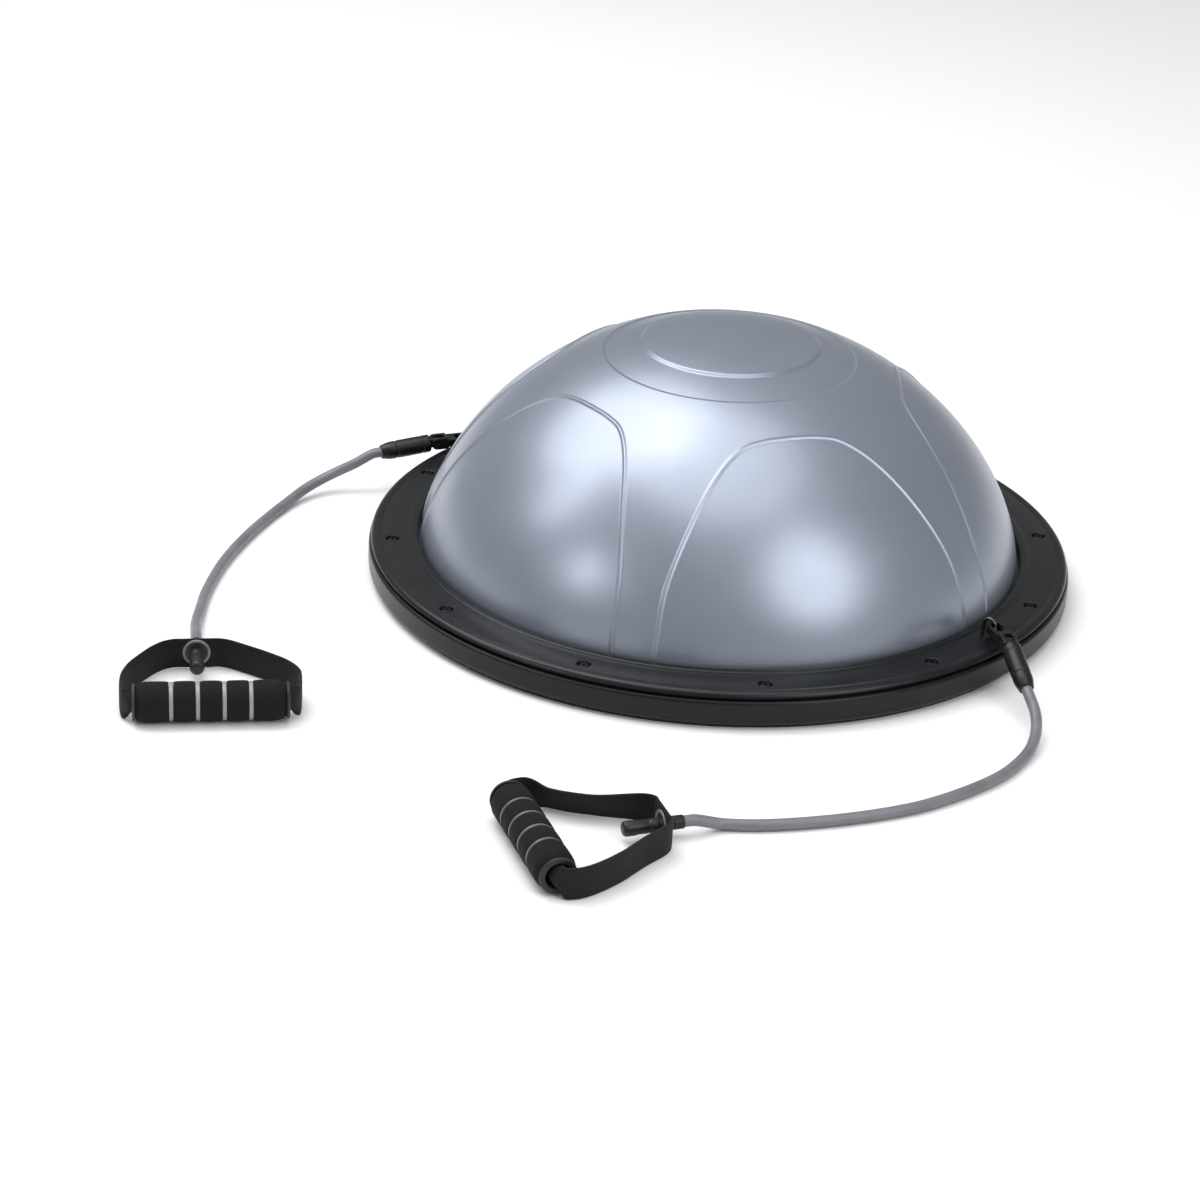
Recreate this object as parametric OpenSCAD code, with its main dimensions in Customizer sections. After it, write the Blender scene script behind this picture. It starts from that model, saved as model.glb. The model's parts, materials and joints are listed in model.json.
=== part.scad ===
// Balance dome trainer: an air-filled half ball clamped to a round base, with two detachable
// resistance bands. X runs through the two band anchors, the handles lie towards -Y, and the
// base stands on z = 0. All sizes are in millimetres.

/* [Base] */
// Outer diameter of the base
base_d = 600; // [598:1:602]
// Height of the rubber foot ring below the base pan
foot_h = 3; // [2:0.5:3.5]
// Height of the base pan's rim, where the clamp ring seats
pan_h = 25; // [24.5:0.5:26]
// Height of the clamp ring's flat top face
ring_h = 32; // [31.5:0.5:33]
// Number of clamp screws round the ring
screw_count = 12; // [6:6:12]

/* [Dome] */
// Largest radius of the air-filled dome
dome_r = 255.4; // [252:0.2:255.6]
// Height of the dome above its widest line
dome_h = 196; // [170:1:215]
// Wall thickness of the dome
dome_wall = 2.6; // [2:0.1:3]
// Depth of the sunken band round the crown
band_depth = 1.6; // [0.8:0.1:2]

/* [Bands] */
// Diameter of the elastic tube
tube_d = 9; // [8:0.5:9]
// Outer diameter of the sleeve at the clip end
sleeve_d = 16; // [14:0.2:16]
// Length of that sleeve
sleeve_len = 46; // [40:1:46]

/* [Handles] */
// Outer diameter of the foam grip
foam_d = 32; // [30:1:32]
// Length of an end piece of foam
foam_end = 26; // [24:1:26]
// Length of a middle piece of foam
foam_mid = 17.2; // [15:0.2:17.2]
// Width of the webbing strap
strap_w = 25; // [24:0.5:26]
// Thickness of the webbing strap
strap_t = 2.4; // [2:0.1:2.4]

/* [Hidden] */
$fn = 96;
LEFT = 0;
RIGHT = 1;

// Base pan: a tray with ribs, screw bosses and a solid block under each anchor
base_r = base_d / 2;
floor_top = foot_h + 3.5;
rim_wall = 4.5;
rim_fillet = 6;
rim_round = 3;
seat_z = pan_h - 3;
bladder_z = floor_top + 5.5;
screw_r = base_r - 20;
screw_step = 360 / screw_count;
first_screw = 15;
boss_r = 5.5;
pilot_r = 2.1;
rib_t = 2.5;
foot_r_in = base_r - 12.8;
foot_r_out = base_r - 6.4;
foot_seat = 2;
valve_hole_r = 18;
block_in = base_r - 32;
block_l = 22;
block_w = 16;

// Clamp ring
ring_r_in = base_r - 42.5;
ring_edge_r = base_r - 1.6;
ring_round = 5;
lip_round = 2.5;
lip_w = 3.5;
lip_h = 2;
seam_h = 3;
pocket_r = 6;
pocket_depth = 3.5;
head_r = 4.2;
head_h = 2.8;

// Dome: radius follows the cosine, height a power of the sine, of one angle
dome_z = pan_h - 0.2;
dome_power = 1.18;
flange_r = base_r - 33.5;
crown_in = 75;
crown_out = 106;
crown_edge = 1.5;

// Valve
valve_r = 7;
valve_flange_r = 13;
plug_r = 4.5;
plug_head_r = 9;
running_gap = 0.05;

// Anchors: a wire staple eye on each side, its outer leg is the pivot of the hook
wire_r = 1.6;
leg_gap = 11;
anchor_r = base_r - 17.5;
eye_z = 41;
nut_af = 6;
nut_h = 2.6;
nut_z = foot_h + 2.6;

// Snap hook, in its own frame: nose centred on the eye's leg, +x towards the band
hook_z = 40;
hook_t = 7;
nose_out = 7.2;
nose_in = 3.9;
mouth_start = 3;
mouth_end = 20.5;
hook_pin_x = 34;
fork_start = 26.5;
fork_half = 5.2;
fork_w = 6.8;
fork_slot = 3.2;
gate_x = 18.5;
gate_y = 5.2;
gate_t = 2.4;
gate_pin_r = 1;
hook_pin_r = 1.5;
// Heading, upward tilt and downward slope of the left and the right band end
hook_heading = [-120, -38];
hook_tilt = [0, 6];
sleeve_drop = [5, 20];

// Sleeve and ferrule, in a frame with the hook's cross pin at its origin
tongue_r = 4;
tongue_w = 5.8;
sleeve_start = 5.9;
tube_start = 27;
ferrule_start = 30;
ferrule_len = 14;
ferrule_wall = 0.8;
tube_r = tube_d / 2;
tube_gap = 0.1;

// Handles: middle of each grip, heading of its axis, and where the tube goes through the strap
grip_mid = [[-115, -498], [205, -489]];
grip_heading = [46, -32];
grommet_s = [-10, 0];
grommet_y = [90, 101];
strap_z = 13.5;
// Height of the pull axis of the left and the right band, and how far the tube dips beyond it
pull_z = [14.5, 11.8];
tube_dip = [[0.8, 3], [2.2, 6.2]];
core_r = 12;
core_bore = 10.25;
ring_len = 3.4;
ring_inset = 0.8;
foam_pieces = 5;
foam_chamfer = 3.4;
foam_len = 2 * foam_end + (foam_pieces - 2) * foam_mid + (foam_pieces - 1) * ring_len;
cap_t = 2.5;
cap_r = 14.5;
cap_bore = 9.7;
cap_spigot = 6;
grip_z = foam_d / 2;
tuck_w = 18;
collar_len = 13;
collar_r = 5.3;
stopper_len = 32;
stopper_r = 5.4;
bulb_r = 5.9;
grommet_bore = 4.9;
grommet_barrel = 5.9;
grommet_in_r = 11.3;
grommet_out_r = 9.5;
grommet_flange = 1.3;

// Middle line of each strap from one end of the grip round to the other, in the grip's frame
strap_line = [
    [[69.5, 3], [70, 16], [70, 32], [62, 48], [47, 63], [27, 79], [15, 87.5], [7.5, 90], [1.7, 90],
     [-10, 90], [-21.7, 90], [-27.5, 90], [-36, 86.5], [-44.5, 78.5], [-54, 65], [-64, 47], [-69, 30],
     [-70, 16], [-69.5, 3]],
    [[69.5, 3], [69.5, 14], [65, 30], [54, 51], [38, 74], [25, 95], [17.5, 101], [11.7, 101], [0, 101],
     [-11.7, 101], [-17.5, 101], [-25, 94.5], [-38, 64], [-51, 41], [-65, 24], [-69.5, 14], [-69.5, 3]]
];
tuck_line = [[-69.5, 8], [-68, 3], [-63, 0], [-40, 0], [0, 0], [40, 0], [63, 0], [68, 3], [69.5, 8]];

// Route of each tube between its sleeve and the straight stretch at its handle
tube_route = [
    [[-339, -94, 26], [-349, -104, 19], [-356, -120, 13], [-358, -138, 9], [-355, -160, 6], [-348, -188, 4.8],
     [-332, -235, 4.8], [-307, -291, 4.8], [-275, -344, 4.8], [-256, -369, 5.5], [-236, -394, 8]],
    [[363, -62, 17], [371, -71, 13], [380, -86, 9], [387, -104, 6.4], [391, -125, 5], [393, -154, 4.8],
     [388, -192, 4.8], [375, -238, 4.8], [354, -279, 4.8], [328, -317, 4.8], [303, -346, 4.8]]
];

function rim_x(side) = side == LEFT ? -anchor_r : anchor_r;
function out_dir(side) = side == LEFT ? -1 : 1;
function unit(v) = v / norm(v);
function arc(cx, cy, r, from, to, steps) =
    [for (i = [0:steps]) let (a = from + (to - from) * i / steps) [cx + r * cos(a), cy + r * sin(a)]];
function along(a, down, d) = [d * cos(a) * cos(down), d * sin(a) * cos(down), -d * sin(down)];
function pin_point(side) =
    [rim_x(side), 0, hook_z] + along(hook_heading[side], -hook_tilt[side], hook_pin_x);
function sleeve_point(side, d) = pin_point(side) + along(hook_heading[side], sleeve_drop[side], d);
function grip_point(side, s, y, z) =
    let (a = grip_heading[side])
    [grip_mid[side].x + s * cos(a) - y * sin(a), grip_mid[side].y + s * sin(a) + y * cos(a), z];
function pull_point(side, d) = grip_point(side, grommet_s[side], grommet_y[side] + d, pull_z[side]);
function spline(a, b, c, d, t) =
    0.5 * (2 * b + (c - a) * t + (2 * a - 5 * b + 4 * c - d) * t * t + (3 * b - a - 3 * c + d) * t * t * t);
function smooth_line(p, steps) =
    let (n = len(p) - 1)
    concat(
        [for (i = [0:n - 1], k = [0:steps - 1])
            spline(p[max(i - 1, 0)], p[i], p[i + 1], p[min(i + 2, n)], k / steps)],
        [p[n]]);
function side_step(p, i) =
    let (t = unit(p[min(i + 1, len(p) - 1)] - p[max(i - 1, 0)])) [-t.y, t.x];
function ribbon(p, half) =
    concat(
        [for (i = [0:len(p) - 1]) p[i] + half * side_step(p, i)],
        [for (i = [len(p) - 1:-1:0]) p[i] - half * side_step(p, i)]);
function route_points(side) =
    concat(
        [sleeve_point(side, tube_start), sleeve_point(side, sleeve_start + sleeve_len),
         sleeve_point(side, sleeve_start + sleeve_len + 7)],
        tube_route[side],
        [pull_point(side, 46) - [0, 0, tube_dip[side].y], pull_point(side, 33) - [0, 0, tube_dip[side].x],
         pull_point(side, 24), pull_point(side, 16.5), pull_point(side, 0), pull_point(side, 4 - stopper_len)]);

// A solid tube with rings along a line; the line never runs straight up
module swept(line, r, sides) {
    n = len(line);
    points = [
        for (i = [0:n - 1])
            let (t = unit(line[min(i + 1, n - 1)] - line[max(i - 1, 0)]))
            let (across = unit(cross(t, [0, 0, 1])))
            let (up = cross(across, t))
            for (k = [0:sides - 1])
                line[i] + r * (cos(360 * k / sides) * across + sin(360 * k / sides) * up)
    ];
    walls = [
        for (i = [0:n - 2], k = [0:sides - 1])
            let (m = (k + 1) % sides)
            [i * sides + k, i * sides + m, (i + 1) * sides + m, (i + 1) * sides + k]
    ];
    start_cap = [[for (k = [sides - 1:-1:0]) k]];
    end_cap = [[for (k = [0:sides - 1]) (n - 1) * sides + k]];
    polyhedron(points, concat(walls, start_cap, end_cap), convexity = 6);
}

module round_bar(length, r) {
    rotate([90, 0, 0])
        cylinder(h = length, r = r, center = true);
}

module at_hook(side) {
    translate([rim_x(side), 0, hook_z])
        rotate([0, -hook_tilt[side], hook_heading[side]])
            children();
}

module at_sleeve(side) {
    translate(pin_point(side))
        rotate([0, sleeve_drop[side], hook_heading[side]])
            children();
}

module at_grip(side) {
    translate(grip_point(side, 0, 0, 0))
        rotate([0, 0, grip_heading[side]])
            children();
}

// Frame on the tube's straight end: z runs from the grip towards the tube
module at_pull(side) {
    translate(pull_point(side, 0))
        rotate([0, 0, grip_heading[side]])
            rotate([-90, 0, 0])
                children();
}

// Frame on the grip's axis: z runs along the grip
module at_grip_axis(side) {
    translate(grip_point(side, 0, 0, grip_z))
        rotate([0, 90, grip_heading[side]])
            children();
}

module screw_places() {
    for (i = [0:screw_count - 1])
        rotate([0, 0, first_screw + i * screw_step])
            translate([screw_r, 0, 0])
                children();
}

module leg_places() {
    for (side = [LEFT, RIGHT])
        for (d = [0, leg_gap])
            translate([rim_x(side) - out_dir(side) * d, 0, 0])
                children();
}

module pan_tray() {
    rotate_extrude()
        polygon(concat(
            [[0, foot_h], [foot_r_in, foot_h], [foot_r_in, foot_h + foot_seat], [foot_r_out, foot_h + foot_seat],
             [foot_r_out, foot_h]],
            arc(base_r - rim_fillet, foot_h + rim_fillet, rim_fillet, -90, 0, 8),
            arc(base_r - rim_round, pan_h - rim_round, rim_round, 0, 90, 6),
            [[base_r - rim_wall, pan_h], [base_r - rim_wall, floor_top], [0, floor_top]]));
}

module ring_wall(r_in, r_out, top) {
    rotate_extrude()
        polygon([[r_in, floor_top - 1], [r_out, floor_top - 1], [r_out, top], [r_in, top]]);
}

module rib(r_in, r_out, top) {
    translate([r_in, -rib_t / 2, floor_top - 1])
        cube([r_out - r_in, rib_t, top - floor_top + 1]);
}

module base_pan() {
    color("#26272b")
    difference() {
        union() {
            pan_tray();
            ring_wall(base_r - 46, base_r - 43, seat_z);
            ring_wall(base_r - 37, base_r - 33, seat_z);
            ring_wall(base_r - 33, base_r - 30, pan_h);
            ring_wall(58, 58 + rib_t, bladder_z);
            ring_wall(150, 150 + rib_t, bladder_z);
            for (i = [0:11])
                rotate([0, 0, first_screw + 30 * i])
                    rib(58, base_r - 45, bladder_z);
            for (i = [1:5], half = [0, 180])
                rotate([0, 0, half + 30 * i])
                    rib(base_r - 31, base_r - rim_wall + 1, pan_h - 1);
            screw_places()
                translate([0, 0, floor_top - 1])
                    cylinder(h = pan_h - floor_top + 1, r = boss_r);
            for (side = [LEFT, RIGHT])
                translate([out_dir(side) * (block_in + block_l / 2), 0, (floor_top + pan_h - 1) / 2])
                    cube([block_l, block_w, pan_h - floor_top + 1], center = true);
        }
        screw_places()
            translate([0, 0, foot_h + 6])
                cylinder(h = pan_h, r = pilot_r);
        leg_places()
            translate([0, 0, -1])
                cylinder(h = pan_h + 5, r = wire_r + running_gap);
        leg_places()
            translate([0, 0, -1])
                cylinder(h = nut_z + nut_h + 1, r = nut_af / 2 + 1.4);
        translate([0, 0, -1])
            cylinder(h = pan_h, r = valve_hole_r);
    }
}

module foot_ring() {
    color("#17181a")
    rotate_extrude()
        translate([foot_r_in + 0.2, 0])
            square([foot_r_out - foot_r_in - 0.4, foot_h + foot_seat]);
}

module clamp_ring() {
    color("#2b2c30")
    difference() {
        rotate_extrude()
            polygon(concat(
                [[ring_r_in, pan_h], [base_r - 5, pan_h], [base_r - 5, pan_h + seam_h],
                 [ring_edge_r, pan_h + seam_h]],
                arc(ring_edge_r - ring_round, ring_h - ring_round, ring_round, 12, 90, 8),
                arc(ring_r_in + lip_round + lip_w, ring_h + lip_h - lip_round, lip_round, 12, 90, 5),
                arc(ring_r_in + lip_round, ring_h + lip_h - lip_round, lip_round, 90, 180, 5)));
        screw_places()
            translate([0, 0, pan_h - 1])
                cylinder(h = ring_h, r = pilot_r + 0.3);
        screw_places()
            translate([0, 0, ring_h - pocket_depth])
                cylinder(h = ring_h, r = pocket_r);
        leg_places()
            translate([0, 0, pan_h - 1])
                cylinder(h = ring_h, r = wire_r + running_gap);
    }
}

module clamp_screws() {
    head_z = ring_h - pocket_depth;
    color("#3a3b3f")
    screw_places()
        difference() {
            union() {
                translate([0, 0, foot_h + 7])
                    cylinder(h = head_z - foot_h - 6.5, r = pilot_r);
                translate([0, 0, head_z])
                    cylinder(h = head_h - 0.8, r = head_r);
                translate([0, 0, head_z + head_h - 0.8])
                    cylinder(h = 0.8, r1 = head_r, r2 = head_r - 0.9);
            }
            for (turn = [0, 90])
                rotate([0, 0, turn])
                    translate([-2.2, -0.5, head_z + head_h - 1.4])
                        cube([4.4, 1, 3]);
        }
}

// Angle on the dome's outline at which it has a given radius
function dome_angle(r) = acos(r / dome_r);
function crown_drop(a) =
    a > dome_angle(crown_out) && a < dome_angle(crown_in) ? band_depth : 0;
function dome_point(a, inset) =
    [(dome_r - inset) * cos(a),
     dome_z + (dome_h - inset) * pow(sin(a), dome_power) - crown_drop(a)];
outline_angles = concat(
    [for (a = [2:3:62]) a],
    [dome_angle(crown_out) - 0.3, dome_angle(crown_out) + 0.3],
    [for (a = [dome_angle(crown_out) + 2:2:dome_angle(crown_in) - 1]) a],
    [dome_angle(crown_in) - 0.3, dome_angle(crown_in) + 0.3],
    [for (a = [76:3:88]) a]);

module dome_bladder() {
    bottom_r = base_r - 54;
    corner_r = 6.5;
    last = len(outline_angles) - 1;
    color("#b4b7c2")
    rotate_extrude()
        polygon(concat(
            [[valve_r, bladder_z]],
            arc(bottom_r, bladder_z + corner_r, corner_r, -90, 0, 6),
            [[base_r - 47.5, seat_z], [flange_r, seat_z], [flange_r, pan_h], [dome_r, pan_h]],
            [for (a = outline_angles) dome_point(a, 0)],
            [[0, dome_z + dome_h], [0, dome_z + dome_h - dome_wall]],
            [for (i = [last:-1:0]) dome_point(outline_angles[i], dome_wall)],
            [[base_r - 50, seat_z]],
            arc(bottom_r, bladder_z + corner_r, corner_r - dome_wall, 0, -90, 6),
            [[valve_r, bladder_z + dome_wall]]));
}

module valve_seat() {
    color("#d9dadd")
    rotate_extrude()
        polygon([[plug_r + running_gap, bladder_z - 2], [valve_flange_r, bladder_z - 2],
                 [valve_flange_r, bladder_z], [valve_r, bladder_z], [valve_r, bladder_z + 8],
                 [plug_r + running_gap, bladder_z + 8]]);
}

module valve_plug() {
    color("#e6e7ea") {
        rotate_extrude()
            polygon([[0, bladder_z - 4.5], [plug_head_r, bladder_z - 4.5], [plug_head_r, bladder_z - 2],
                     [plug_r, bladder_z - 2], [plug_r, bladder_z + 5], [plug_r - 1.2, bladder_z + 7.5],
                     [0, bladder_z + 7.5]]);
        translate([-4, -1, bladder_z - 7])
            cube([8, 2, 3]);
    }
}

module anchor_eye(side) {
    color("#c4c6ca")
    translate([rim_x(side) - out_dir(side) * leg_gap / 2, 0, 0]) {
        translate([0, 0, eye_z])
            rotate([90, 0, 0])
                rotate_extrude(angle = 180)
                    translate([leg_gap / 2, 0])
                        circle(r = wire_r);
        for (x = [-leg_gap / 2, leg_gap / 2])
            translate([x, 0, nut_z - 0.3])
                cylinder(h = eye_z - nut_z + 0.3, r = wire_r);
    }
}

module anchor_nuts(side) {
    color("#a5a7ab")
    for (d = [0, leg_gap])
        translate([rim_x(side) - out_dir(side) * d, 0, nut_z])
            difference() {
                cylinder(h = nut_h, r = nut_af / 2 / cos(30), $fn = 6);
                translate([0, 0, -1])
                    cylinder(h = nut_h + 2, r = wire_r);
            }
}

module hook_outline() {
    difference() {
        union() {
            circle(r = nose_out);
            translate([0, -nose_out])
                square([fork_start, 2 * nose_out]);
        }
        circle(r = nose_in);
        translate([0, -nose_in])
            square([mouth_end - 4.5, 2 * nose_in]);
        translate([mouth_start, 0])
            square([mouth_end - mouth_start - 6, nose_out + 1]);
    }
}

module hook(side) {
    color("#1c1d1f")
    at_hook(side)
        difference() {
            union() {
                translate([0, 0, -hook_t / 2])
                    linear_extrude(hook_t)
                        hook_outline();
                translate([fork_start - 3, -fork_w, -fork_half])
                    cube([hook_pin_x - fork_start + 3, 2 * fork_w, 2 * fork_half]);
                translate([hook_pin_x, 0, 0])
                    round_bar(2 * fork_w, fork_half);
            }
            translate([fork_start, -fork_slot, -fork_half - 1])
                cube([hook_pin_x, 2 * fork_slot, 2 * fork_half + 2]);
            translate([hook_pin_x, 0, 0])
                round_bar(4 * fork_w, hook_pin_r);
            // slot and pin hole for the gate's root
            translate([mouth_end - 7, 1.4, -gate_t / 2 - 0.1])
                cube([7, nose_out, gate_t + 0.2]);
            translate([gate_x, gate_y, -hook_t])
                cylinder(h = 2 * hook_t, r = gate_pin_r);
        }
}

module gate(side) {
    color("#2f3034")
    at_hook(side)
        translate([0, 0, -gate_t / 2])
            linear_extrude(gate_t)
                difference() {
                    union() {
                        translate([gate_x, gate_y])
                            circle(r = 1.9);
                        translate([mouth_start + 0.5, gate_y - 1.6])
                            square([gate_x - mouth_start - 0.5, 3.2]);
                    }
                    translate([gate_x, gate_y])
                        circle(r = gate_pin_r + running_gap);
                }
}

module gate_pin(side) {
    color("#b9bbbf")
    at_hook(side)
        translate([gate_x, gate_y, -hook_t / 2])
            cylinder(h = hook_t, r = gate_pin_r);
}

module hook_pin(side) {
    color("#b9bbbf")
    at_hook(side)
        translate([hook_pin_x, 0, 0])
            round_bar(2 * fork_w, hook_pin_r);
}

module sleeve(side) {
    end = sleeve_start + sleeve_len;
    r = sleeve_d / 2;
    bore = tube_r + tube_gap;
    color("#202124")
    at_sleeve(side)
        difference() {
            union() {
                rotate([0, 90, 0])
                    rotate_extrude()
                        polygon(concat(
                            [[0, sleeve_start], [r - 1.2, sleeve_start], [r, sleeve_start + 1.2],
                             [r - 0.3, end - 12], [r + 0.2, end - 6]],
                            arc(r - 1.8, end - 2, 2, 0, 90, 4),
                            [[0, end]]));
                round_bar(tongue_w, tongue_r);
                translate([0, -tongue_w / 2, -tongue_r])
                    cube([sleeve_start + 1, tongue_w, 2 * tongue_r]);
            }
            round_bar(tongue_w + 2, hook_pin_r + running_gap);
            translate([tube_start, 0, 0])
                rotate([0, 90, 0])
                    cylinder(h = end, r = bore);
            translate([ferrule_start, 0, 0])
                rotate([0, 90, 0])
                    cylinder(h = ferrule_len, r = bore + ferrule_wall);
        }
}

module ferrule(side) {
    bore = tube_r + tube_gap;
    color("#a9a38f")
    at_sleeve(side)
        translate([ferrule_start, 0, 0])
            rotate([0, 90, 0])
                difference() {
                    cylinder(h = ferrule_len, r = bore + ferrule_wall);
                    translate([0, 0, -1])
                        cylinder(h = ferrule_len + 2, r = bore);
                }
}

module tube(side) {
    color("#86888f")
    swept(smooth_line(route_points(side), 2), tube_r, 12);
}

module collar(side) {
    color("#2a2b2e")
    at_pull(side)
        translate([0, 0, strap_t / 2 + grommet_flange + 0.4])
            difference() {
                cylinder(h = collar_len, r = collar_r);
                translate([0, 0, -1])
                    cylinder(h = collar_len + 2, r = tube_r + tube_gap);
            }
}

module stopper(side) {
    top = -strap_t / 2 - grommet_flange - 0.4;
    bore = tube_r + tube_gap;
    color("#4c4d52")
    at_pull(side)
        rotate_extrude()
            polygon(concat(
                [[0, 3.9 - stopper_len], [bore, 3.9 - stopper_len], [bore, top], [stopper_r, top],
                 [stopper_r, 9 - stopper_len]],
                arc(bulb_r - 3, 3 - stopper_len, 3, 45, -90, 7),
                [[0, -stopper_len]]));
}

module grommet(side) {
    half = strap_t / 2;
    color("#c9cbd0")
    at_pull(side)
        rotate_extrude()
            polygon([[grommet_bore, -half - grommet_flange], [grommet_in_r - 0.6, -half - grommet_flange],
                     [grommet_in_r, -half - grommet_flange + 0.6], [grommet_in_r, -half],
                     [grommet_barrel, -half], [grommet_barrel, half], [grommet_out_r, half],
                     [grommet_out_r, half + grommet_flange - 0.5], [grommet_out_r - 0.5, half + grommet_flange],
                     [grommet_bore, half + grommet_flange]]);
}

module strap(side) {
    color("#1d1e20")
    difference() {
        at_grip(side) {
            translate([0, 0, strap_z - strap_w / 2])
                linear_extrude(strap_w)
                    polygon(ribbon(smooth_line(strap_line[side], 3), strap_t / 2));
            translate([0, 0, grip_z - tuck_w / 2])
                linear_extrude(tuck_w)
                    polygon(ribbon(smooth_line(tuck_line, 3), strap_t / 2));
        }
        at_pull(side)
            cylinder(h = 4 * strap_t, r = grommet_barrel, center = true);
    }
}

module grip_core(side) {
    color("#3b3c40")
    at_grip_axis(side)
        difference() {
            cylinder(h = foam_len, r = core_r, center = true);
            cylinder(h = foam_len + 2, r = core_bore, center = true);
        }
}

// Start of each piece of foam along the grip, counted from the grip's middle
function foam_start(i) =
    -foam_len / 2 + (i == 0 ? 0 : foam_end + ring_len + (i - 1) * (foam_mid + ring_len));
function foam_span(i) = i == 0 || i == foam_pieces - 1 ? foam_end : foam_mid;

module foam_piece(length, chamfer_low, chamfer_high) {
    r = foam_d / 2;
    rotate_extrude()
        polygon([[core_r, 0], [r - chamfer_low, 0], [r, chamfer_low], [r, length - chamfer_high],
                 [r - chamfer_high, length], [core_r, length]]);
}

module grip_foam(side) {
    color("#232427")
    at_grip_axis(side)
        for (i = [0:foam_pieces - 1])
            translate([0, 0, foam_start(i)])
                foam_piece(
                    foam_span(i),
                    i == 0 ? foam_chamfer : 0.6,
                    i == foam_pieces - 1 ? foam_chamfer : 0.6);
}

module grip_rings(side) {
    color("#b9bbc0")
    at_grip_axis(side)
        for (i = [0:foam_pieces - 2])
            translate([0, 0, foam_start(i) + foam_span(i)])
                difference() {
                    cylinder(h = ring_len, r = foam_d / 2 - ring_inset);
                    translate([0, 0, -1])
                        cylinder(h = ring_len + 2, r = core_r);
                }
}

module grip_caps(side) {
    color("#a2a4a9")
    at_grip_axis(side)
        for (turn = [0, 180])
            rotate([0, turn, 0])
                translate([0, 0, foam_len / 2])
                    rotate_extrude()
                        polygon([[cap_bore, -cap_spigot], [core_bore, -cap_spigot], [core_bore, 0], [cap_r, 0],
                                 [cap_r, cap_t - 1], [cap_r - 1, cap_t], [cap_bore, cap_t]]);
}

base_pan();
foot_ring();
clamp_ring();
clamp_screws();
dome_bladder();
valve_seat();
valve_plug();
anchor_eye(LEFT);  // anchor_eye_left
anchor_eye(RIGHT);  // anchor_eye_right
anchor_nuts(LEFT);  // anchor_nuts_left
anchor_nuts(RIGHT);  // anchor_nuts_right
hook(LEFT);  // hook_left
hook(RIGHT);  // hook_right
gate(LEFT);  // gate_left
gate(RIGHT);  // gate_right
gate_pin(LEFT);  // gate_pin_left
gate_pin(RIGHT);  // gate_pin_right
hook_pin(LEFT);  // hook_pin_left
hook_pin(RIGHT);  // hook_pin_right
sleeve(LEFT);  // sleeve_left
sleeve(RIGHT);  // sleeve_right
ferrule(LEFT);  // ferrule_left
ferrule(RIGHT);  // ferrule_right
tube(LEFT);  // tube_left
tube(RIGHT);  // tube_right
collar(LEFT);  // collar_left
collar(RIGHT);  // collar_right
stopper(LEFT);  // stopper_left
stopper(RIGHT);  // stopper_right
grommet(LEFT);  // grommet_left
grommet(RIGHT);  // grommet_right
strap(LEFT);  // strap_left
strap(RIGHT);  // strap_right
grip_core(LEFT);  // grip_core_left
grip_core(RIGHT);  // grip_core_right
grip_foam(LEFT);  // grip_foam_left
grip_foam(RIGHT);  // grip_foam_right
grip_rings(LEFT);  // grip_rings_left
grip_rings(RIGHT);  // grip_rings_right
grip_caps(LEFT);  // grip_caps_left
grip_caps(RIGHT);  // grip_caps_right
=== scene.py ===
import bmesh
import bpy
import json
import math
from mathutils import Matrix, Vector


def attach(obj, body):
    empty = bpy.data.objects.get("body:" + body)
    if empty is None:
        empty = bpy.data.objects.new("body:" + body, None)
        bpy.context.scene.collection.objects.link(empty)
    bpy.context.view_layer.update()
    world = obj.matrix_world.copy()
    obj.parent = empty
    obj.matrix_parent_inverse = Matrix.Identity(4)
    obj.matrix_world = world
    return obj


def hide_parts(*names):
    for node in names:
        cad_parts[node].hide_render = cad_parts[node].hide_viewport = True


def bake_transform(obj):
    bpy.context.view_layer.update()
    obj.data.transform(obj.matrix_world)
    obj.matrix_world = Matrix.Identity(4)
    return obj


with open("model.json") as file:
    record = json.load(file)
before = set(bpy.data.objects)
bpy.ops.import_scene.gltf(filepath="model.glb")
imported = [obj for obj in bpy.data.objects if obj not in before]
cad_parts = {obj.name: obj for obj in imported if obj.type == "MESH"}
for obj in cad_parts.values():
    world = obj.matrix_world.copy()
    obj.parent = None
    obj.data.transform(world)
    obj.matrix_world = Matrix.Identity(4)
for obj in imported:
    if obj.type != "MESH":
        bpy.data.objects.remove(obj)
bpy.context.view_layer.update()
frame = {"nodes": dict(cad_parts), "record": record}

MM = 0.001
SIDES = ("left", "right")
SHARP_ANGLE = 32  # edges bent by more degrees than this stay sharp
JOINTS = {j["name"]: j for j in frame["record"]["behaviour"]["joints"]}


# ---------------------------------------------------------------- small helpers
def joint_frame(name, z_axis, x_axis):
    """A frame at a joint's pivot with the given z axis, and x near x_axis."""
    z = Vector(z_axis).normalized()
    x = Vector(x_axis)
    x = (x - z * x.dot(z)).normalized()
    y = z.cross(x)
    m = Matrix((x, y, z)).transposed().to_4x4()
    m.translation = Vector(JOINTS[name]["pos_m"])
    return m


def shade_smooth(mesh):
    mesh.polygons.foreach_set("use_smooth", [True] * len(mesh.polygons))


def make_object(name, verts, faces, uvs=None):
    """A new object in metres; uvs has one pair for each vertex."""
    mesh = bpy.data.meshes.new(name)
    mesh.from_pydata([tuple(v) for v in verts], [], faces)
    shade_smooth(mesh)
    if uvs is not None:
        layer = mesh.uv_layers.new(name="UVMap")
        for loop in mesh.loops:
            layer.data[loop.index].uv = uvs[loop.vertex_index]
    mesh.validate()
    mesh.update()
    obj = bpy.data.objects.new(name, mesh)
    bpy.context.scene.collection.objects.link(obj)
    return obj


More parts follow.
